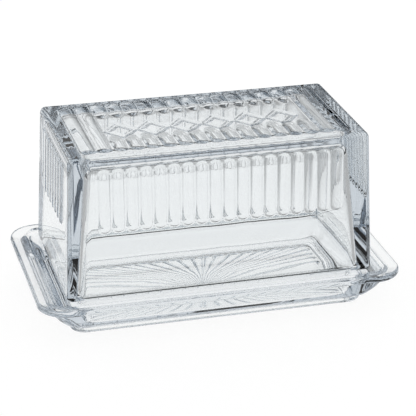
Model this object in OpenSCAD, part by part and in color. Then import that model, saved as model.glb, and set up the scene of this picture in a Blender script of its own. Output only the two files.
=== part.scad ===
// Butter dish in two pieces of clear pressed glass: a tray that stands on a foot ring,
// and a deep cover that stands on the ledge of the tray's rim and lifts straight off.
// Origin: middle of the foot ring's underside. X runs along the dish, Z is up.

/* [Cover] */
// Length of the cover at its rim
cover_l = 160; // [130:1:200]
// Width of the cover at its rim
cover_w = 86; // [72:1:110]
// Height of the cover
cover_h = 75; // [60:1:95]
// How much each outer side leans in over the cover's height
cover_draft = 2.8; // [0:0.1:4]
// Radius of the cover's outer edges
edge_r = 3; // [1.5:0.5:4]
// Thickness of the walls at the rim
wall_t = 6; // [5:0.5:8]
// How much each inner side leans in over the cavity's height
cavity_draft = 5.5; // [3.5:0.5:6.5]
// Thickness of the top
top_t = 7.5; // [5:0.5:10]
// Corner radius of the cavity
cavity_r = 7; // [4:0.5:8]

/* [Ribs on the outside of the cover] */
// Spacing of the ribs on the walls
wall_pitch = 7.05; // [5:0.05:10]
// Spacing of the ribs on the top
top_pitch = 8.15; // [6:0.05:10]
// How far a rib stands out of the glass
rib_rise = 1; // [0.6:0.1:1.2]
// Height of the ribs' lower ends above the cover's rim
rib_low = 35.5; // [25:0.5:45]
// Gap between the ribs and the cover's edges
rib_gap = 5.5; // [4.5:0.5:10]
// Length of the smooth panel on the top
panel_l = 106; // [80:1:120]
// Width of the smooth panel on the top
panel_w = 34; // [20:1:40]

/* [Tray] */
// Height of the rim's top above the table
tray_h = 20.5; // [17:0.5:30]
// How far the rim reaches past the cover at the ends
rim_end = 15; // [10:0.5:25]
// How far the rim reaches past the cover at the sides
rim_side = 12; // [10:0.5:25]
// Corner radius of the rim
rim_r = 11; // [8:1:20]
// Thickness of the rim at its edge
rim_t = 3.5; // [2.5:0.5:5]
// How far the rim's lip stands out from the body under it
lip_w = 6; // [3:0.5:7]
// Gap between the cover and the raised border around the ledge
cover_play = 5; // [1:0.5:6]
// How far the ledge lies below the border
border_step = 1.5; // [0.8:0.1:2.5]

/* [Well and foot] */
// How far the foot ring stands inside the cover's outline
foot_inset = 3; // [1:0.5:6]
// Corner radius of the foot ring
foot_r = 8; // [6:1:12]
// Width of the foot ring
foot_ring = 5; // [3:0.5:7]
// Depth of the recess under the floor
foot_recess = 2.5; // [1.5:0.5:3.5]
// Thickness of the floor of the well
floor_t = 4.5; // [3.5:0.5:7]
// How far the body bulges out past the foot ring
body_bulge = 3; // [1:0.5:5]
// Ledge that shows inside the cover's wall
well_gap = 1; // [0.5:0.5:3]
// Slope of the well's sides, measured sideways from ledge to floor
well_slope = 4; // [2:0.5:8]

/* [Starburst under the tray] */
// Number of rays
rays = 36; // [16:2:48]
// Depth of each ray's groove
ray_depth = 1.2; // [0.6:0.1:1.6]

/* [Hidden] */
$fn = 32;
thin = 0.01;                                    // slice that a hull starts or ends with
deep = 1;                                       // how far a cutter passes the face that it opens
tray_l = cover_l + 2 * rim_end;
tray_w = cover_w + 2 * rim_side;
lip_z = tray_h - rim_t;                         // underside of the rim's lip
ledge_z = tray_h - border_step;                 // the cover stands at this height
ledge_l = cover_l + 2 * cover_play;
ledge_w = cover_w + 2 * cover_play;
ledge_r = rim_r / 2;
foot_l = cover_l - 2 * foot_inset;
foot_w = cover_w - 2 * foot_inset;
foot_h = 4;                                     // height of the foot ring
floor_z = foot_recess + floor_t;
cavity_l = cover_l - 2 * wall_t;
cavity_w = cover_w - 2 * wall_t;
cavity_h = cover_h - top_t;
well_l = cavity_l - 2 * well_gap;
well_w = cavity_w - 2 * well_gap;
well_r = cavity_r;
arc_steps = 4;                                  // flats on each half of a rib's round face

// Four upright discs at the corners of a rounded rectangle, for a hull
module corners(l, w, r, z, h = thin) {
    for (sx = [-1, 1], sy = [-1, 1])
        translate([sx * (l / 2 - r), sy * (w / 2 - r), z])
            cylinder(h = h, r = r);
}

// A flat plate with rounded corners
module plate(l, w, r, z, h) {
    translate([-l / 2, r - w / 2, z])
        cube([l, w - 2 * r, h]);
    translate([r - l / 2, -w / 2, z])
        cube([l - 2 * r, w, h]);
    corners(l, w, r, z, h);
}

// The top of a rounded box, for a hull: a ball in each corner, and a slice at full height
module rounded_top(l, w, r, top) {
    for (sx = [-1, 1], sy = [-1, 1])
        translate([sx * (l / 2 - r), sy * (w / 2 - r), top - r])
            sphere(r = r);
    translate([r - l / 2, r - w / 2, top - thin])
        cube([l - 2 * r, w - 2 * r, thin]);
}

// Cross-section of a rib: a flat arc as wide as the pitch, standing on the line y = 0
function rib_radius(pitch) = (pow(pitch / 2, 2) + pow(rib_rise, 2)) / (2 * rib_rise);
function rib_arc(pitch) = [
    for (i = [-arc_steps:arc_steps])
        let (r = rib_radius(pitch), a = asin(pitch / 2 / r) * i / arc_steps)
            [r * sin(a), r * cos(a) - r + rib_rise]
];

// A rib lying along +Z, with its back sunk into the glass by as much as it stands out
module rib(pitch, length) {
    linear_extrude(height = length)
        polygon(concat([[pitch / 2, -rib_rise], [-pitch / 2, -rib_rise]], rib_arc(pitch)));
}

// A row of ribs on one drafted wall; the wall is half away from the middle at the rim, and run long
module wall_ribs(half, run) {
    count = 2 * floor((run / 2 - 2.5 * rib_gap) / wall_pitch);
    lean = atan(cover_draft / cover_h);
    for (i = [0:count - 1])
        translate([(i - (count - 1) / 2) * wall_pitch, -half, 0])
            rotate([-lean, 0, 0])
                translate([0, 0, rib_low])
                    mirror([0, 1, 0])
                        rib(wall_pitch, cover_h - rib_gap - rib_low);
}

// A rib on the top, across the dish
module top_rib(x, start, end) {
    translate([x, -start, cover_h])
        rotate([90, 0, 0])
            rib(top_pitch, end - start);
}

// Ribs right across the top at both ends, and short ones on both sides of the smooth panel
module top_ribs() {
    half_l = cover_l / 2 - cover_draft;
    reach = cover_w / 2 - cover_draft - rib_gap;
    count = floor((half_l - rib_gap) / top_pitch - 0.5);
    for (i = [-count:count])
        if (abs(i * top_pitch) > panel_l / 2)
            top_rib(i * top_pitch, -reach, reach);
        else
            for (side = [0, 180])
                rotate([0, 0, side])
                    top_rib(i * top_pitch, panel_w / 2, reach);
}

// Tray: foot ring, flared body, raised border, ledge, well and the starburst underneath
module tray() {
    color("gainsboro")
        difference() {
            union() {
                plate(foot_l, foot_w, foot_r, 0, foot_h);
                hull() {
                    body_slice(0, foot_h - thin);
                    body_slice(2 / 3, (foot_h + lip_z) / 2);
                    body_slice(1, lip_z);
                }
                plate(tray_l, tray_w, rim_r, lip_z, rim_t);
            }
            hull() {
                corners(ledge_l, ledge_w, ledge_r, ledge_z);
                corners(ledge_l + 2 * border_step, ledge_w + 2 * border_step, ledge_r + border_step,
                        tray_h + thin);
            }
            hull() {
                corners(well_l, well_w, well_r, ledge_z + thin);
                corners(well_l - 2 * well_slope, well_w - 2 * well_slope, well_r, floor_z);
            }
            translate([0, 0, -deep])
                plate(foot_l - 2 * foot_ring, foot_w - 2 * foot_ring, foot_r - foot_ring / 2, 0,
                      foot_recess + deep);
            starburst();
        }
}

// A thin level slice of the body: share 0 is just above the foot ring, share 1 is under the lip
module body_slice(share, z) {
    low = [foot_l + 2 * body_bulge, foot_w + 2 * body_bulge, foot_r];
    high = [tray_l - 2 * lip_w, tray_w - 2 * lip_w, rim_r - lip_w / 2];
    size = low + share * (high - low);
    corners(size[0], size[1], size[2], z);
}

// V-shaped grooves in the underside of the floor, all from the middle out to a rectangle
module starburst() {
    half_l = foot_l / 2 - foot_ring - 2 * foot_recess;
    half_w = foot_w / 2 - foot_ring - 2 * foot_recess;
    for (i = [0:rays - 1]) {
        a = 360 * (i + 0.5) / rays;
        reach = min(half_l / abs(cos(a)), half_w / abs(sin(a)));
        width = 0.7 * PI * min(reach, half_w) / rays;
        translate([0, 0, foot_recess])
            rotate([0, 0, a])
                rotate([90, 0, 90])
                    linear_extrude(height = reach)
                        polygon([[-width, -thin], [width, -thin], [0, ray_depth]]);
    }
}

// Cover: a drafted box, open below, with ribs on the outside of its walls and its top
module cover() {
    color("whitesmoke")
        translate([0, 0, ledge_z]) {
            difference() {
                hull() {
                    corners(cover_l, cover_w, edge_r, 0);
                    rounded_top(cover_l - 2 * cover_draft, cover_w - 2 * cover_draft, edge_r, cover_h);
                }
                hull() {
                    corners(cavity_l, cavity_w, cavity_r, -thin);
                    rounded_top(cavity_l - 2 * cavity_draft, cavity_w - 2 * cavity_draft, cavity_r,
                                cavity_h);
                }
            }
            for (side = [0, 180])
                rotate([0, 0, side]) {
                    wall_ribs(cover_w / 2, cover_l);
                    rotate([0, 0, 90])
                        wall_ribs(cover_l / 2, cover_w);
                }
            top_ribs();
        }
}

tray();
cover();
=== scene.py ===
# %% [markdown]
# # A butter dish in clear pressed glass
# The dish is two pieces of glass: a tray, and a deep cover that lifts off. Pressed glass is shaped
# between a mould, which makes the outside with its ribs, and a plunger, which makes the plain cavity.
# Clear glass shows only what it bends and reflects, so the walls' true thickness and the shape of both
# their faces matter more than any texture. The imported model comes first, because it fixes where the two
# bodies are and how they move.

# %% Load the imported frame
import math
import bpy
import numpy as np
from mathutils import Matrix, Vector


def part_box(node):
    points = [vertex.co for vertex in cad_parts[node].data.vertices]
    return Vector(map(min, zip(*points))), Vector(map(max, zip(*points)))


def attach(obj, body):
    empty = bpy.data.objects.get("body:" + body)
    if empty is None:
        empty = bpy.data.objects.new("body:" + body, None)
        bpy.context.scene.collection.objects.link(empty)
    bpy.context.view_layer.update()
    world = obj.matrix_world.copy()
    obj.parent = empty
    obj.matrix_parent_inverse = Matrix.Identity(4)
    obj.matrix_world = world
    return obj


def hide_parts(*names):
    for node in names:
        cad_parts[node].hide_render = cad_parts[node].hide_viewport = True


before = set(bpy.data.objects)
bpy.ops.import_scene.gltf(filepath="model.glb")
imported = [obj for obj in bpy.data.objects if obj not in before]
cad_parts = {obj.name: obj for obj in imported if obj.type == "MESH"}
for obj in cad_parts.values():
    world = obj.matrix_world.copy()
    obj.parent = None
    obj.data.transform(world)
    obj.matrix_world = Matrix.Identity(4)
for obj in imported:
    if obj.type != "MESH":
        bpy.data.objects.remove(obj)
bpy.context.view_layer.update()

# %% [markdown]
# ## Sizes
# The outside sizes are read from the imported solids, so the glass fits the design. The sizes that the
# solids' boxes don't tell, such as wall thickness and rib spacing, are named here in millimetres and
# turned to metres.

# %% Sizes read from the frame, and named sizes
MM = 0.001
cover_low, cover_high = (np.array(c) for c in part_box("cover"))
tray_low, tray_high = (np.array(c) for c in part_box("tray"))
cover_size = (cover_high - cover_low) / MM
tray_size = (tray_high - tray_low) / MM
ledge_z = float(cover_low[2]) / MM         # the cover's rim stands at this height

cover_draft = 2.8                          # how much each outer side leans in over the height
cover_edge = 3.0                           # radius of the cover's outer edges
wall = 6.0                                 # wall thickness at the cover's rim
top_thickness = 7.5
cavity_draft = 5.5                         # how much each inner side leans in over the cavity's height
cavity_corner = 5.0                        # radius of the cavity's upright corners
cavity_fillet = 8.5                        # height of the curve from the walls into the top
rim_round = 2.0                            # radius of the cover's lower edges
print("cover", cover_size.round(1), "tray", tray_size.round(1), "ledge at", round(ledge_z, 1))

# %% [markdown]
# ## The skin of a rounded box
# Both faces of the cover are rounded boxes, open below. A rounded box can be worked out from a plain
# one: take a point p on the skin of a box, find the nearest point q of a smaller box inside it (the
# core), and push q out by the radius along the direction from q to p. Flat faces stay flat, edges become
# quarter cylinders and corners become pieces of a ball. All the points of a grid move at once, so there
# is no loop over vertices.

# %% Grid lines and the box skin
def tan_steps(count):
    """Steps from 0 to 1 that cut a 45 degree turn into equal angles: tan(a) for equal steps of a."""
    return np.tan(np.linspace(0.0, math.pi / 4, count + 1))


def with_borders(inner, radius, count):
    """Grid lines of a face: the inner lines, and lines for the rounded edge outside them on both sides."""
    steps = radius * tan_steps(count)[1:]
    return np.concatenate([inner[0] - steps[::-1], inner, inner[-1] + steps])


def box_skin(xs, ys, zs):
    """The skin of a box that is open below.

    The top is the grid xs by ys at height zs[0]. The walls carry the edge of that grid down to each height
    of zs. Gives the grid numbers (column, row, level) of every point, the faces, and the last loop's points.
    """
    nx, ny = len(xs), len(ys)
    top = np.arange(nx * ny).reshape(nx, ny)
    column, row = np.meshgrid(np.arange(nx), np.arange(ny), indexing="ij")
    ring = np.concatenate([top[:, 0], top[-1, 1:], top[-2::-1, -1], top[0, -2:0:-1]])
    around = len(ring)
    levels = len(zs) - 1
    loops = np.vstack([ring, nx * ny + np.arange(levels * around).reshape(levels, around)])
    cap = np.stack([top[:-1, :-1], top[1:, :-1], top[1:, 1:], top[:-1, 1:]], -1).reshape(-1, 4)
    faces = np.vstack([cap] + [strip(loops[k], loops[k + 1]) for k in range(levels)])
    column = np.concatenate([column.ravel(), np.tile(column.ravel()[ring], levels)])
    row = np.concatenate([row.ravel(), np.tile(row.ravel()[ring], levels)])
    level = np.concatenate([np.zeros(nx * ny, int), np.repeat(np.arange(1, levels + 1), around)])
    return column, row, level, faces, loops[-1]


def strip(upper, lower):
    """A closed band of four-sided faces between two loops, seen from outside when the loops run leftwards."""
    return np.stack([lower, np.roll(lower, -1), np.roll(upper, -1), upper], -1)


def rounded(points, core, radii):
    """Split box-skin points into the nearest core point q and the push from q, radii times the direction."""
    near = points.copy()
    near[:, 0] = np.clip(points[:, 0], -core[0], core[0])
    near[:, 1] = np.clip(points[:, 1], -core[1], core[1])
    near[:, 2] = np.minimum(points[:, 2], core[2])
    away = (points - near) / radii
    away /= np.linalg.norm(away, axis=1)[:, None]
    return near, away

# %% [markdown]
# ## Ribs
# A rib on a wall is a flat bar with a round end, as a ball-nosed cutter leaves it in the mould. With d
# the distance from the rib's middle line, or from the middle of its round end, its height over the glass
# is rise * sqrt(1 - (d / w)^3), and nothing past its half-width w. The power 3 makes the back flat and
# the sides steep, and w leaves a narrow valley between ribs: the steep sides are what shows as dark
# lines.

# %% Rib height
rib_rise = 1.0                             # height of a rib over the glass
rib_cover = 0.86                           # a wall rib's width as a share of the pitch
wall_ribs = (18, 8)                        # ribs on a long wall and on an end wall
wall_pitch = (7.05, 6.8)                   # and their spacing
top_ribs = 17                              # ribs along the top
top_pitch = 8.15
print(wall_ribs, "ribs on the walls every", wall_pitch, "mm,", top_ribs, "on the top every", top_pitch, "mm")


def from_middle(x, pitch, count):
    """Signed distance from the nearest middle line in a row of count equal parts, centred on 0."""
    return (x + count % 2 * pitch / 2) % pitch - pitch / 2


def bar(d, half_width, rise):
    """Height of a flat bar at the distance d from its middle line: rise * sqrt(1 - (d / w)^3)."""
    return rise * np.sqrt(np.maximum(1.0 - np.abs(d / half_width) ** 3, 0.0))


def rib_lines(count, pitch, cells):
    """Grid lines over a row of ribs: equal angles over each rib, dx = w sin(a), and a valley between."""
    inside = pitch / 2 * rib_cover * np.sin(np.linspace(-math.pi / 2, math.pi / 2, cells))
    middles = (np.arange(count) - (count - 1) / 2) * pitch
    return np.concatenate([[-count * pitch / 2], (middles[:, None] + inside).ravel(), [count * pitch / 2]])


def ease(x, start, end):
    """0 before start, 1 after end, and a smooth step between: t t (3 - 2 t)."""
    t = np.clip((x - start) / (end - start), 0.0, 1.0)
    return t * t * (3.0 - 2.0 * t)

# %% [markdown]
# ## From numbers to a mesh
# A piece of glass has to be a closed skin, or light gets in and never out again. So each piece prints
# whether every edge has two faces, and the volume that the skin encloses, found by adding up thin
# tetrahedra from the origin to each face.

# %% Helpers: numpy arrays to a mesh object, and what the mesh encloses
def volume_of(points, face_lists):
    """Sum of a . (b x c) / 6 over all triangles, which is right only if every face looks outwards."""
    a, b, c, d = (points[np.concatenate([faces[:, k] for faces in face_lists])] for k in (0, 1, 2, -1))
    return float(sum((a * np.cross(*pair)).sum() for pair in ((b, c), (c, d)))) / 6


def is_closed(point_count, face_lists):
    """True if every edge belongs to exactly two faces."""
    sides = np.sort(np.concatenate([np.stack([faces, np.roll(faces, -1, axis=1)], -1).reshape(-1, 2)
                                    for faces in face_lists]), axis=1).astype(np.int64)
    uses = np.unique(sides[:, 0] * point_count + sides[:, 1], return_counts=True)[1]
    return bool((uses == 2).all())


def make_mesh(name, points_mm, face_lists):
    """Put points in millimetres and lists of faces, each list of one width, into a smooth object.

    The width of a list is the number of corners of its faces.
    """
    mesh = bpy.data.meshes.new(name)
    mesh.vertices.add(len(points_mm))
    mesh.vertices.foreach_set("co", (points_mm * MM).astype(np.float32).ravel())
    corners = np.concatenate([faces.ravel() for faces in face_lists]).astype(np.int32)
    widths = np.concatenate([np.full(len(faces), faces.shape[1], np.int32) for faces in face_lists])
    mesh.loops.add(len(corners))
    mesh.loops.foreach_set("vertex_index", corners)
    mesh.polygons.add(len(widths))
    starts = np.concatenate([[0], np.cumsum(widths)[:-1]])
    mesh.polygons.foreach_set("loop_start", starts.astype(np.int32))
    mesh.update(calc_edges=True)
    mesh.polygons.foreach_set("use_smooth", np.ones(len(widths), bool))
    mesh.validate()
    piece = bpy.data.objects.new(name, mesh)
    bpy.context.scene.collection.objects.link(piece)
    closed = is_closed(len(points_mm), face_lists)
    volume = round(volume_of(points_mm, face_lists) / 1000, 1)
    print(name, len(points_mm), "points", int((widths - 2).sum()), "triangles, closed:", closed,
          "volume:", volume, "cm3")
    return piece

# %% [markdown]
# ## The cover
# Two drafted boxes, the outside with the ribs and the cavity inside it, share the columns of one grid,
# so the two can be joined round the rim without a seam. The sides lean: each level's core is a little
# wider than the one above it. Only the columns outside the ribs move with it, so that the ribs stay
# upright.

# %% Cover: one drafted rounded box
half = cover_size[:2] / 2
top_z = cover_size[2] - rib_rise           # the smooth panel on the top, above the rim
flat_half = half - cover_draft - cover_edge            # the top's flat, inside its rounded edges
edge_cells = 6                             # grid cells in half of a rounded edge
rib_cells = 10                             # grid lines on each rib
ribbed = [rib_lines(wall_ribs[axis], wall_pitch[axis], rib_cells) for axis in (0, 1)]
margin_cells = (2, 14)                     # cells between the ribs and the rounded edge, on each axis


def with_margins(lines, end, cells):
    """Rib lines with a smooth margin of so many cells on both sides, out to the rounded edges."""
    margin = np.linspace(lines[-1], end, cells + 1)[1:]
    return np.concatenate([-margin[::-1], lines, margin])


outer_columns = [with_margins(ribbed[axis], flat_half[axis], margin_cells[axis]) for axis in (0, 1)]
print("grid of the cover's flats:", [len(lines) for lines in outer_columns], "lines")


def drafted_box(columns, half_top, half_rim, top_z, radii, depths, upright):
    """Points q and directions n of a rounded box whose sides lean out from half_top to half_rim.

    A point is q + radii * n. columns run from -1 to 1 over each flat, and depths are the heights of the
    wall's levels below the rounded edge. Columns less than upright from the middle stay upright; the ones
    outside share the lean in proportion.
    """
    flat = [half_top[axis] - radii[axis] for axis in (0, 1)]
    lines = [with_borders(columns[axis] * flat[axis], radii[axis], edge_cells) for axis in (0, 1)]
    bend = top_z - radii[2] + radii[2] * tan_steps(edge_cells)[::-1]
    zs = np.concatenate([bend, depths])
    column, row, level, faces, last = box_skin(lines[0], lines[1], zs)
    points = np.stack([lines[0][column], lines[1][row], zs[level]], -1)
    core = np.array([flat[0], flat[1], top_z - radii[2]])
    near, away = rounded(points, core, np.array(radii))
    down = (core[2] - near[:, 2]) / (core[2] - depths[-1])
    for axis in (0, 1):
        lean = (half_rim[axis] - half_top[axis]) * down
        share = np.clip((np.abs(near[:, axis]) - upright[axis]) / (flat[axis] - upright[axis]), 0.0, 1.0)
        near[:, axis] += np.sign(near[:, axis]) * share * lean
    return near, away, faces, last

# %% [markdown]
# The ribs raise the outer skin along its own direction: a point is q + (radius + height) n. On the walls
# they end in quarter rounds above the plain lower half. On the top they are softer arcs that touch each
# other and run across the dish; round the smooth middle panel they sink into the glass, so that they
# narrow to points.

# %% Cover: the outside, with its ribs
rib_low = 35.5                             # lower ends of the wall ribs, above the cover's rim
rib_high = top_z - 6.5                     # upper ends of the wall ribs
top_border = 5.8                           # smooth border between the top's ribs and its outer edge
rib_reach = half[1] - cover_draft - top_border         # the top's ribs end this far from the middle line
panel = (53.0, 12.0)                       # half-length and half-width of the smooth panel on the top
petal = 10.0                               # the short ribs narrow over this length
slide_gap = 0.3                            # the columns start to slide this far past the top's ribs
facing_up = 0.9999                         # a direction with a larger z belongs to a flat top
facing_side = 0.02                         # and one with a smaller x and y to no wall
end_cells = (0.4, 3.6)                     # close grid lines from this far past a rib's end to this far in
slack = 0.001                              # so that the row's last grid line counts as part of it


def wall_relief(near, away):
    """Height of the walls' ribs; z of the surface is q_z + n_z times the edge's radius."""
    end_r = wall_pitch[0] / 2 * rib_cover
    surface_z = near[:, 2] + away[:, 2] * cover_edge
    past = np.maximum(np.maximum(rib_low + end_r - surface_z, surface_z - (rib_high - end_r)), 0.0)
    rise = np.zeros(len(near))
    for along, across in ((0, 1), (1, 0)):
        facing = np.abs(away[:, across]) > np.maximum(np.abs(away[:, along]), facing_side)
        on_ribs = facing & (np.abs(near[:, along]) <= ribbed[along][-1] + slack)
        d = np.hypot(from_middle(near[:, along], wall_pitch[along], wall_ribs[along]), past)
        rise = np.where(on_ribs, bar(d, wall_pitch[along] / 2 * rib_cover, rib_rise), rise)
    return rise


def top_relief(x, y):
    """Height of the top's ribs: sqrt(r^2 - dx^2 - past^2) - (r - rise), less what the short ones sink."""
    past = np.maximum(np.abs(y) - (rib_reach - top_pitch / 2), 0.0)
    fade = np.where(np.abs(x) < panel[0], np.clip((np.abs(y) - panel[1]) / petal, 0.0, 1.0), 1.0)
    radius = ((top_pitch / 2) ** 2 + rib_rise ** 2) / (2 * rib_rise)
    under = radius ** 2 - from_middle(x, top_pitch, top_ribs) ** 2 - past ** 2
    rise = np.maximum(np.sqrt(np.maximum(under, 0.0)) - (radius - rib_rise * fade), 0.0)
    return np.where(np.abs(x) < top_ribs * top_pitch / 2, rise, 0.0)


top_lines = rib_lines(top_ribs, top_pitch, rib_cells)
top_columns = with_margins(top_lines, flat_half[0], (len(outer_columns[0]) - len(top_lines)) // 2)


def to_top_columns(x, y, above):
    """Slide each column from its place on the walls to its place on the top, away from the rounded edges."""
    share = (1.0 - ease(np.abs(y), rib_reach + slide_gap, flat_half[1])) * above
    return x + (np.interp(x, outer_columns[0], top_columns) - x) * share


outer_radii = np.full(3, cover_edge)
# Heights on the wall and the cells down to each: close together only where the ribs' round ends are.
stops = [(top_z - cover_edge, 1), (rib_high + end_cells[0], 3), (rib_high - end_cells[1], 10),
         (rib_low + end_cells[1], 6), (rib_low - end_cells[0], 10), (rim_round, 6)]
wall_levels = np.concatenate([np.linspace(high, low, cells + 1)[1:]
                              for (high, _), (low, cells) in zip(stops, stops[1:])])
outer_near, outer_away, outer_faces, outer_last = drafted_box(
    [outer_columns[axis] / flat_half[axis] for axis in (0, 1)], half - cover_draft, half, top_z, outer_radii,
    wall_levels, [lines[-1] for lines in ribbed])
above = outer_away[:, 2] > facing_up
outer_near[:, 0] = to_top_columns(outer_near[:, 0], outer_near[:, 1], above)
on_top = top_relief(outer_near[:, 0], outer_near[:, 1])
relief = np.where(above, on_top, wall_relief(outer_near, outer_away))
outer_points = outer_near + outer_away * (outer_radii + relief[:, None])
print("outside of the cover:", len(outer_points), "points, highest rib", round(float(relief.max()), 2), "mm")

# %% [markdown]
# The cavity is a plain drafted box with larger radii, so the walls grow thicker towards the top and the
# corners. A row of outlined lozenges stands out of its ceiling and is read through the smooth panel
# above it.

# %% Cover: the cavity, with the ornament on its ceiling
cavity_top = top_z - top_thickness
cavity_levels = 11                         # grid cells down the cavity's walls
inner_radii = np.array((cavity_corner, cavity_corner, cavity_fillet))
inner_near, inner_away, inner_faces, inner_last = drafted_box(
    [np.linspace(-1.0, 1.0, len(lines)) for lines in outer_columns],
    half - wall - cavity_draft, half - wall, cavity_top, inner_radii,
    np.linspace(cavity_top - cavity_fillet, rim_round, cavity_levels + 1)[1:], (0.0, 0.0))
lozenges = 6                               # outlined lozenges in the row
lozenge_pitch = 17.0
lozenge = (6.9, 8.6)                       # half-length and half-width of a lozenge, to the line's middle
stroke = 1.4                               # half-width of the outline
stroke_rise = 1.2                          # height of the outline over the ceiling


def lozenge_row(x, y):
    """Height of the row of lozenges, whose outlines are bars like the ribs.

    |x| / a + |y| / b is 1 on a lozenge's outline; off it, the distance is that sum less 1, times
    ab / sqrt(a^2 + b^2).
    """
    dx = from_middle(x, lozenge_pitch, lozenges)
    scale = lozenge[0] * lozenge[1] / math.hypot(*lozenge)
    from_line = (np.abs(dx) / lozenge[0] + np.abs(y) / lozenge[1] - 1.0) * scale
    return np.where(np.abs(x) < lozenges * lozenge_pitch / 2, bar(from_line, stroke, stroke_rise), 0.0)


ceiling = inner_away[:, 2] > facing_up
ornament = np.where(ceiling, lozenge_row(inner_near[:, 0], inner_near[:, 1]), 0.0)
inner_points = inner_near + inner_away * (inner_radii - ornament[:, None])
print("cavity:", len(inner_points), "points, ornament", round(float(ornament.max()), 2), "mm")

# %% [markdown]
# The rim joins the two skins. From the outside it curls in under the wall by a quarter turn, crosses the
# flat that stands on the tray, and curls up into the cavity by another quarter turn.

# %% Cover: the rim, and the whole piece
def rim_loops(near, away, radius, turns):
    """Loops that curl round the rim: at turn a, inwards by r (1 - sin a) and at the height r (1 - cos a)."""
    loops = []
    for turn in turns:
        reach = radius + rim_round * (math.sin(turn) - 1.0)
        loop = near + away * reach
        loop[:, 2] = rim_round * (1.0 - math.cos(turn))
        loops.append(loop)
    return loops


rim_cells = 5                              # grid cells in each quarter turn
quarter = np.linspace(math.pi / 2, 0.0, rim_cells + 1)
outer_rim = rim_loops(outer_near[outer_last], outer_away[outer_last], cover_edge, quarter[1:])
inner_rim = rim_loops(inner_near[inner_last], inner_away[inner_last], cavity_corner + 2 * rim_round,
                      -quarter[::-1][:-1])
loops = np.array(outer_rim + inner_rim)
around = len(outer_last)
start = len(outer_points)
rim_ids = start + np.arange(len(loops) * around).reshape(len(loops), around)
inner_start = start + rim_ids.size
chain = [outer_last, *rim_ids, inner_start + inner_last]
bands = np.vstack([strip(chain[k], chain[k + 1]) for k in range(len(chain) - 1)])
cover_points = np.vstack([outer_points, loops.reshape(-1, 3), inner_points])
cover_points[:, 2] += ledge_z
cover_faces = np.vstack([outer_faces, bands, inner_start + inner_faces[:, ::-1]])
cover_glass = make_mesh("cover_glass", cover_points, [cover_faces])

# %% [markdown]
# ## The tray
# The tray is one profile carried round the dish: up the well's side, over the ledge and the rim, under
# the lip, down the body and round the foot. Each corner of the profile gives the half-length, half-width
# and corner radius of a rounded rectangle, and its height. A short curve, B(t) = (1-t)^2 A + 2t(1-t) P +
# t^2 C, replaces each corner P. Every loop is then cut at the same directions from the middle, so that
# the rays of the starburst under the floor run exactly along grid lines.

# %% Tray: the profile
tray_half = tray_size / 2
rim_top = tray_size[2]
floor = 7.0                                # top of the well's floor
recess = 2.5                               # the floor's underside, above the table
well_gap = 1.0                             # the ledge shows this far inside the cover's wall
well = half - wall - well_gap              # half-length and half-width of the well at the ledge
foot = half - 3.0                          # outside of the foot ring
play = 5.0                                 # the cover can shift this far on the ledge
step = 1.5                                 # the ledge lies this far below the border round it
lip = 6.0                                  # the rim's lip stands out this far from the body
rim_corner = 15.0                          # corner radius of the rim
fillet_cells = 6                           # grid cells round each fillet of the profile


def round_profile(keys):
    """Carry straight lines from key to key, and swap each key with a fillet for the curve B(t).

    A key is (half-length, half-width, corner radius, height, fillet). The curve starts and ends one fillet
    away from it, or halfway to the next key if that is nearer.
    """
    keys = np.array(keys, float)
    places, fillets = keys[:, :4], keys[:, 4]
    levels = [places[:1]]
    for before, here, after, fillet in zip(places[:-2], places[1:-1], places[2:], fillets[1:-1]):
        back, on = before - here, after - here
        back *= min(fillet / np.linalg.norm(back[[0, 3]]), 0.5)
        on *= min(fillet / np.linalg.norm(on[[0, 3]]), 0.5)
        t = np.linspace(0.0, 1.0, fillet_cells + 1)[:, None]
        levels.append((1 - t) ** 2 * (here + back) + 2 * t * (1 - t) * here + t ** 2 * (here + on))
    levels.append(places[-1:])
    return np.vstack(levels)


def reach_of(levels, direction):
    """How far each level's rounded rectangle reaches from its middle along each direction.

    Where a direction d meets a straight side it is half / |cos| or half / |sin|; at a corner of centre c
    and radius r it is d.c + sqrt((d.c)^2 - c.c + r^2). Rows of the result are levels.
    """
    along, across, radius = (levels[:, k][:, None] for k in range(3))
    dx, dy = np.abs(direction)
    by_end = along / np.maximum(dx, 1e-9)
    by_side = across / np.maximum(dy, 1e-9)
    cx, cy = along - radius, across - radius
    dot = dx * cx + dy * cy
    by_corner = dot + np.sqrt(np.maximum(dot ** 2 - cx ** 2 - cy ** 2 + radius ** 2, 0.0))
    straight = np.minimum(by_end, by_side)
    at_corner = (straight * dx > cx) & (straight * dy > cy)
    return np.where(at_corner, by_corner, straight)


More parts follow.
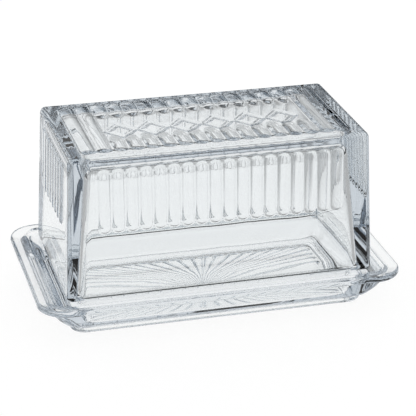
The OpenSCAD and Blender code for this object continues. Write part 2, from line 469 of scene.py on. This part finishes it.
tray_keys = [
    (well[0] - 8.0, well[1] - 8.0, 3.0, floor, 0.0),                                 # on the well's floor
    (well[0] - 3.5, well[1] - 3.5, 5.0, floor, 4.5),                                 # foot of the well's side
    (well[0], well[1], 6.0, ledge_z, 1.6),                                           # inner edge of the ledge
    (half[0] + play, half[1] + play, 6.0, ledge_z, 0.9),                             # outer edge of the ledge
    (half[0] + play + step, half[1] + play + step, 7.5, rim_top, 0.9),               # border round the ledge
    (tray_half[0], tray_half[1], rim_corner, rim_top, 1.6),                          # the rim's upper edge
    (tray_half[0], tray_half[1], rim_corner, rim_top - 3.5, 1.4),                    # the rim's lower edge
    (tray_half[0] - lip, tray_half[1] - lip, rim_corner - 4.0, rim_top - 4.0, 1.5),  # under the lip
    (foot[0] + 9.0, foot[1] + 6.5, 8.0, rim_top - 10.0, 4.0),                        # the body's shoulder
    (foot[0] + 3.5, foot[1] + 3.0, 8.0, 4.6, 2.5),                                   # the body's lower end
    (foot[0] + 0.6, foot[1] + 0.6, 8.0, 3.8, 0.8),                                   # top of the foot ring
    (foot[0], foot[1], 8.0, 0.0, 1.0),                                               # foot ring, outside
    (foot[0] - 5.0, foot[1] - 5.0, 5.5, 0.0, 1.0),                                   # foot ring, inside
    (foot[0] - 5.6, foot[1] - 5.6, 5.5, recess, 1.0),                                # edge of the recess
    (foot[0] - 9.0, foot[1] - 9.0, 3.0, recess, 0.0),                                # on the recess's flat
]
profile = round_profile(tray_keys)
print("tray profile:", len(profile), "loops, widest", profile[:, :2].max(axis=0).round(2))

# %% [markdown]
# The starburst is pressed into the underside of the floor. Its rays spread from the middle and end at
# equal spaces round a rectangle, so the ones towards the corners are the longest.

# %% Tray: the starburst
ray_counts = (16, 10)                      # rays that end on a long side and on a short side
ray_cells = 12                             # grid columns in each ray
ray_depth = 1.2                            # depth of the valleys at the rays' outer ends
ray_turn = math.radians(42.0)              # g, half of the arc that each ray's back turns through
star = foot - 11.0                         # half-length and half-width of the starburst


def star_directions():
    """Directions of the grid's columns: the rays end at equal spaces round a rectangle, star."""
    steps = [np.linspace(-1.0, 1.0, count * ray_cells + 1)[:-1] for count in ray_counts]
    one = [np.ones_like(s) for s in steps]
    x = np.concatenate([steps[0], one[1], -steps[0], -one[1]]) * star[0]
    y = np.concatenate([-one[0], steps[1], one[0], -steps[1]]) * star[1]
    return np.stack([x, y]) / np.hypot(x, y), np.hypot(x, y)


directions, star_reach = star_directions()
column_count = directions.shape[1]
phase = (np.arange(column_count) % ray_cells) / ray_cells * 2.0 - 1.0  # -1 and 1 in the valleys
print(column_count // ray_cells, "rays of", star_reach.min().round(1), "to", star_reach.max().round(1), "mm")


def ray_valley(share):
    """How far the underside is cut up into the floor: nothing on a ray's crest, ray_depth in the valleys.

    Across a ray its height is an arc, (cos(g t) - cos g) / (1 - cos g), with t the phase. The depth grows
    with the distance from the middle.
    """
    crest = (np.cos(ray_turn * phase) - math.cos(ray_turn)) / (1.0 - math.cos(ray_turn))
    return ray_depth * share[:, None] * (1.0 - crest[None, :])

# %% [markdown]
# All the loops in order, from near the middle of the well, over the rim and back in under the floor,
# make one skin. Two points in the middle, one above and one below, close it.

# %% Tray: the whole piece
def loop_points(levels):
    """Points of every loop: its reach along each direction, at its height."""
    reach = reach_of(levels, directions)
    flat = reach[:, None, :] * directions[None]
    height_of = np.broadcast_to(levels[:, 3][:, None], reach.shape)
    return np.stack([flat[:, 0], flat[:, 1], height_of], -1)


floor_shares = np.arange(1, 16, 3) / 16    # loops of the well's floor, as shares of its first profile key
floor_loops = loop_points(np.array([[*(profile[0, :3] * share), floor] for share in floor_shares]))
side_loops = loop_points(profile)
# One loop round the starburst, where the valleys stop, and thirty from its outer ends to near the middle.
star_shares = np.concatenate([[1.0], np.linspace(0.985, 0.02, 30)])
star_flat = star_shares[:, None, None] * (star_reach * directions).T[None]
star_z = recess + np.where(star_shares[:, None] < 1.0, ray_valley(star_shares), 0.0)
star_loops = np.concatenate([star_flat, star_z[:, :, None]], -1)
tray_loops = np.concatenate([floor_loops, side_loops, star_loops])
poles = np.array([[0.0, 0.0, floor], [0.0, 0.0, recess]])
ids = np.arange(tray_loops.shape[0] * column_count).reshape(-1, column_count)
tray_bands = np.vstack([strip(ids[k], ids[k + 1]) for k in range(len(ids) - 1)])
pole_ids = ids.size + np.arange(2)
fan_top = np.stack([np.full(column_count, pole_ids[0]), ids[0], np.roll(ids[0], -1)], -1)
fan_low = np.stack([np.full(column_count, pole_ids[1]), np.roll(ids[-1], -1), ids[-1]], -1)
tray_points = np.vstack([tray_loops.reshape(-1, 3), poles])
tray_glass = make_mesh("tray_glass", tray_points, [tray_bands, fan_top, fan_low])

# %% [markdown]
# ## The glass
# Soda-lime glass, pressed in an iron mould and then fire-polished. Three things make it more than a
# clear solid: its index of 1.52 bends what is behind it, its body takes a little light out of every long
# path, so that edges and corners turn grey while the thin walls stay clear, and the flame leaves its
# skin slightly wavy.

# %% Material
def linear(hex_colour):
    """An sRGB hex colour as linear red, green, blue and 1 for alpha."""
    parts = [int(hex_colour[k:k + 2], 16) / 255 for k in (1, 3, 5)]
    return [c / 12.92 if c <= 0.04045 else ((c + 0.055) / 1.055) ** 2.4 for c in parts] + [1.0]


def add_node(tree, kind, settings=(), values=(), links=()):
    """Add a node, set its properties and its inputs' values, and link other nodes' outputs to its inputs."""
    node = tree.nodes.new(kind)
    for key, value in dict(settings).items():
        setattr(node, key, value)
    for key, value in dict(values).items():
        node.inputs[key].default_value = value
    for key, output in dict(links).items():
        tree.links.new(output, node.inputs[key])
    return node


wave_length = 14.0                         # millimetres from crest to crest of the fire-polished skin
wave_height = 0.06                         # millimetres; about one degree of slope
soaked = 28.0                              # density of the absorption, per metre of glass


def pressed_glass(name):
    """Clear pressed glass: no roughness, index 1.52, a little grey-blue absorption, and a low waviness."""
    material = bpy.data.materials.new(name)
    material.use_nodes = True
    tree = material.node_tree
    shader = tree.nodes["Principled BSDF"]
    shader.inputs["Base Color"].default_value = linear("#fbfcfc")
    shader.inputs["Roughness"].default_value = 0.0
    shader.inputs["IOR"].default_value = 1.52
    shader.inputs["Transmission Weight"].default_value = 1.0
    soak = add_node(tree, "ShaderNodeVolumeAbsorption", {}, {"Density": soaked, "Color": linear("#ebeef1")})
    tree.links.new(soak.outputs["Volume"], tree.nodes["Material Output"].inputs["Volume"])
    place = add_node(tree, "ShaderNodeTexCoord")
    wave = add_node(tree, "ShaderNodeTexNoise", {}, {"Scale": 1.0 / (wave_length * MM), "Detail": 1.0,
                    "Roughness": 0.4}, {"Vector": place.outputs["Object"]})
    skin = add_node(tree, "ShaderNodeBump", {}, {"Strength": 1.0, "Distance": wave_height * MM},
                    {"Height": wave.outputs["Fac"]})
    tree.links.new(skin.outputs["Normal"], shader.inputs["Normal"])
    return material


glass = pressed_glass("soda_lime_pressed_glass")
for piece in (cover_glass, tray_glass):
    piece.data.materials.append(glass)
    print(piece.name, "is made of", glass.name)

# %% [markdown]
# ## Bodies
# Each piece rides on the body that moves it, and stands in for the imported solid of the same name.

# %% Riding and replacing
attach(cover_glass, "cover")
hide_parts("cover")
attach(tray_glass, "tray")
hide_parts("tray")

# %% [markdown]
# ## Table and light
# Clear glass is drawn by the edges of what stands around it. The dish is on a white table that glows,
# under a wide soft ceiling light, with dark cards low down all round and closest at both ends. The walls
# show the table, and the corners and the ribs' sides bend the dark cards into view. The camera itself
# sees only white. A thick wall passes light on between its faces many times, so the paths need room for
# many bounces.

# %% Table and light
scene = bpy.context.scene
scene.view_settings.view_transform = "Standard"
scene.view_settings.gamma = 0.82           # a little more contrast in the glass; white stays white
scene.cycles.max_bounces = 64
scene.cycles.transmission_bounces = 64
scene.cycles.glossy_bounces = 32
scene.cycles.diffuse_bounces = 4
table_glow = 0.93                          # strength of the light that the table gives off
table_reach = (0.42, 0.70)                 # metres: the table's glow starts to fade and has faded
end_cards = 3.4                            # the cards stand this many times closer at the dish's ends
faded = 0.50                               # what is left of the glow under the cards
ceiling_edge = (0.30, 0.36)                # sine of the height at which the ceiling light begins
card_foot = (0.05, 0.09)                   # and of the height at which the dark cards begin
lit = 0.95                                 # strength of the ceiling light and of the strip under the cards
table_half = 6.0                           # metres from the middle of the table to its sides


def white_table():
    """A square table; its glow fades with |(end_cards x, y)| for everything but the camera's own rays."""
    corners = np.array([[-1, -1, 0], [1, -1, 0], [1, 1, 0], [-1, 1, 0]]) * table_half / MM
    piece = make_mesh("studio_table", corners, [np.array([[0, 1, 2, 3]])])
    material = bpy.data.materials.new("white_acrylic")
    material.use_nodes = True
    tree = material.node_tree
    shader = tree.nodes["Principled BSDF"]
    shader.inputs["Base Color"].default_value = linear("#484848")
    shader.inputs["Roughness"].default_value = 0.9
    shader.inputs["Emission Color"].default_value = linear("#ffffff")
    place = add_node(tree, "ShaderNodeNewGeometry")
    squash = add_node(tree, "ShaderNodeVectorMath", {"operation": "MULTIPLY"}, {1: (end_cards, 1.0, 1.0)},
                      {0: place.outputs["Position"]})
    far = add_node(tree, "ShaderNodeVectorMath", {"operation": "LENGTH"}, links={0: squash.outputs["Vector"]})
    fall = add_node(tree, "ShaderNodeMapRange", {}, {"From Min": table_reach[0], "From Max": table_reach[1],
                    "To Min": 1.0, "To Max": faded}, {"Value": far.outputs["Value"]})
    path = add_node(tree, "ShaderNodeLightPath")
    seen = add_node(tree, "ShaderNodeMath", {"operation": "MAXIMUM"},
                    links={0: fall.outputs["Result"], 1: path.outputs["Is Camera Ray"]})
    glow = add_node(tree, "ShaderNodeMath", {"operation": "MULTIPLY"}, {1: table_glow},
                    {0: seen.outputs["Value"]})
    tree.links.new(glow.outputs["Value"], shader.inputs["Emission Strength"])
    piece.data.materials.append(material)


white_table()

# %% Ceiling light and dark cards
world = bpy.data.worlds.new("studio")
scene.world = world
world.use_nodes = True
tree = world.node_tree
background = tree.nodes["Background"]
background.inputs["Color"].default_value = linear("#ffffff")
way = add_node(tree, "ShaderNodeTexCoord")
axes = add_node(tree, "ShaderNodeSeparateXYZ", links={0: way.outputs["Generated"]})
overhead = add_node(tree, "ShaderNodeMapRange", {}, {"From Min": ceiling_edge[0], "From Max": ceiling_edge[1],
                    "To Min": 0.0, "To Max": lit}, {"Value": axes.outputs["Z"]})
horizon = add_node(tree, "ShaderNodeMapRange", {}, {"From Min": card_foot[0], "From Max": card_foot[1],
                   "To Min": lit, "To Max": 0.0}, {"Value": axes.outputs["Z"]})
path = add_node(tree, "ShaderNodeLightPath")
sky = add_node(tree, "ShaderNodeMath", {"operation": "MAXIMUM"},
               links={0: overhead.outputs["Result"], 1: horizon.outputs["Result"]})
sky = add_node(tree, "ShaderNodeMath", {"operation": "MAXIMUM"},
               links={0: sky.outputs["Value"], 1: path.outputs["Is Camera Ray"]})
tree.links.new(sky.outputs["Value"], background.inputs["Strength"])
ceiling_from, card_from = (round(math.degrees(math.asin(edges[1]))) for edges in (ceiling_edge, card_foot))
print("ceiling light above", ceiling_from, "degrees, dark cards from", card_from, "degrees up to it")

# %% [markdown]
# ## Camera
# A long lens from a little above, turned so that the front and the left end of the dish both show.

# %% Camera
camera_data = bpy.data.cameras.new("camera")
camera = bpy.data.objects.new("camera", camera_data)
scene.collection.objects.link(camera)
scene.camera = camera
camera_data.sensor_width = 36.0
camera_data.lens = 152.74                  # millimetres, on a sensor 36 mm wide
camera.location = (-0.2169, -0.8194, 0.4110)           # metres
heading, tilt, roll = math.radians(14.95), math.radians(23.39), math.radians(-0.26)
camera.rotation_euler = (math.pi / 2 - tilt, roll, -heading)
camera_data.clip_end = 30.0
print("camera", round(math.dist(camera.location, (0.0, 0.0, 0.0)), 2), "m away, lens", camera_data.lens, "mm")
